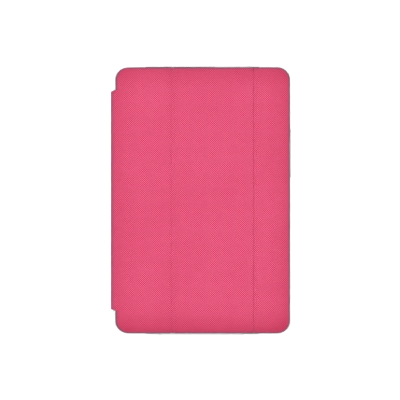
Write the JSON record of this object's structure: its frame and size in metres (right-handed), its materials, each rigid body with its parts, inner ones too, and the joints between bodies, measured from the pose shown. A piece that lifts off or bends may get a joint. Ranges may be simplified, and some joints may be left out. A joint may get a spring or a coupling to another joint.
{
  "type": "tablet case",
  "caption": "Slim folding case for an eight-inch tablet: frosted snap-in tray, soft spine and a woven-look cover that folds in panels.",
  "frame": {"origin": "middle of the case on the surface it rests on, back down and cover closed", "axes": "+Z out of the front cover, +Y towards the top edge of the tablet, spine on the -X side"},
  "size_m": [0.1386, 0.2072, 0.0109],
  "materials": {
    "outer_fabric": "pink coated fabric, fine pressed plain weave, satin",
    "inner_fabric": "soft brushed microfibre",
    "frosted_shell": "translucent frosted polycarbonate",
    "board": "pressed fibre board",
    "adhesive": "double-sided adhesive tape",
    "steel": "thin plated steel strip",
    "magnet": "nickel-plated magnet"
  },
  "bodies": {
    "shell": {"rear_shell": "frosted_shell", "back_strip": "outer_fabric", "strip_tape": "adhesive", "foot_bend_skin": "outer_fabric"},
    "spine": {"spine_skin": "outer_fabric", "spine_board": "board", "spine_lining": "inner_fabric"},
    "panel_1": {"panel_1_skin": "outer_fabric", "panel_1_board": "board", "panel_1_lining": "inner_fabric", "keeper_plate_1": "steel", "keeper_plate_2": "steel", "top_bend_skin": "outer_fabric", "top_bend_lining": "inner_fabric"},
    "panel_2": {"panel_2_skin": "outer_fabric", "panel_2_board": "board", "panel_2_lining": "inner_fabric", "fold_1_skin": "outer_fabric", "fold_1_lining": "inner_fabric"},
    "panel_3": {"panel_3_skin": "outer_fabric", "panel_3_board": "board", "panel_3_lining": "inner_fabric", "closing_magnet_1": "magnet", "closing_magnet_2": "magnet", "closing_magnet_3": "magnet", "closing_magnet_4": "magnet", "wake_magnet": "magnet", "fold_2_skin": "outer_fabric", "fold_2_lining": "inner_fabric"}
  },
  "joints": [
    {"name": "spine_hinge", "type": "hinge", "parent": "shell", "child": "spine", "pos_m": [-0.06853, 0, 0.00077], "axis": [0, -1, 0], "range_deg": [0, 90], "deforming": ["foot_bend_skin"]},
    {"name": "cover_hinge", "type": "hinge", "parent": "spine", "child": "panel_1", "pos_m": [-0.06853, 0, 0.01013], "axis": [0, -1, 0], "range_deg": [0, 90], "deforming": ["top_bend_skin", "top_bend_lining"]},
    {"name": "fold_1", "type": "hinge", "parent": "panel_1", "child": "panel_2", "pos_m": [-0.0219, 0, 0.01105], "axis": [0, 1, 0], "range_deg": [-165, 0], "deforming": ["fold_1_skin", "fold_1_lining"]},
    {"name": "fold_2", "type": "hinge", "parent": "panel_2", "child": "panel_3", "pos_m": [0.0412, 0, 0.01105], "axis": [0, 1, 0], "range_deg": [-175, 0], "deforming": ["fold_2_skin", "fold_2_lining"]}
  ]
}
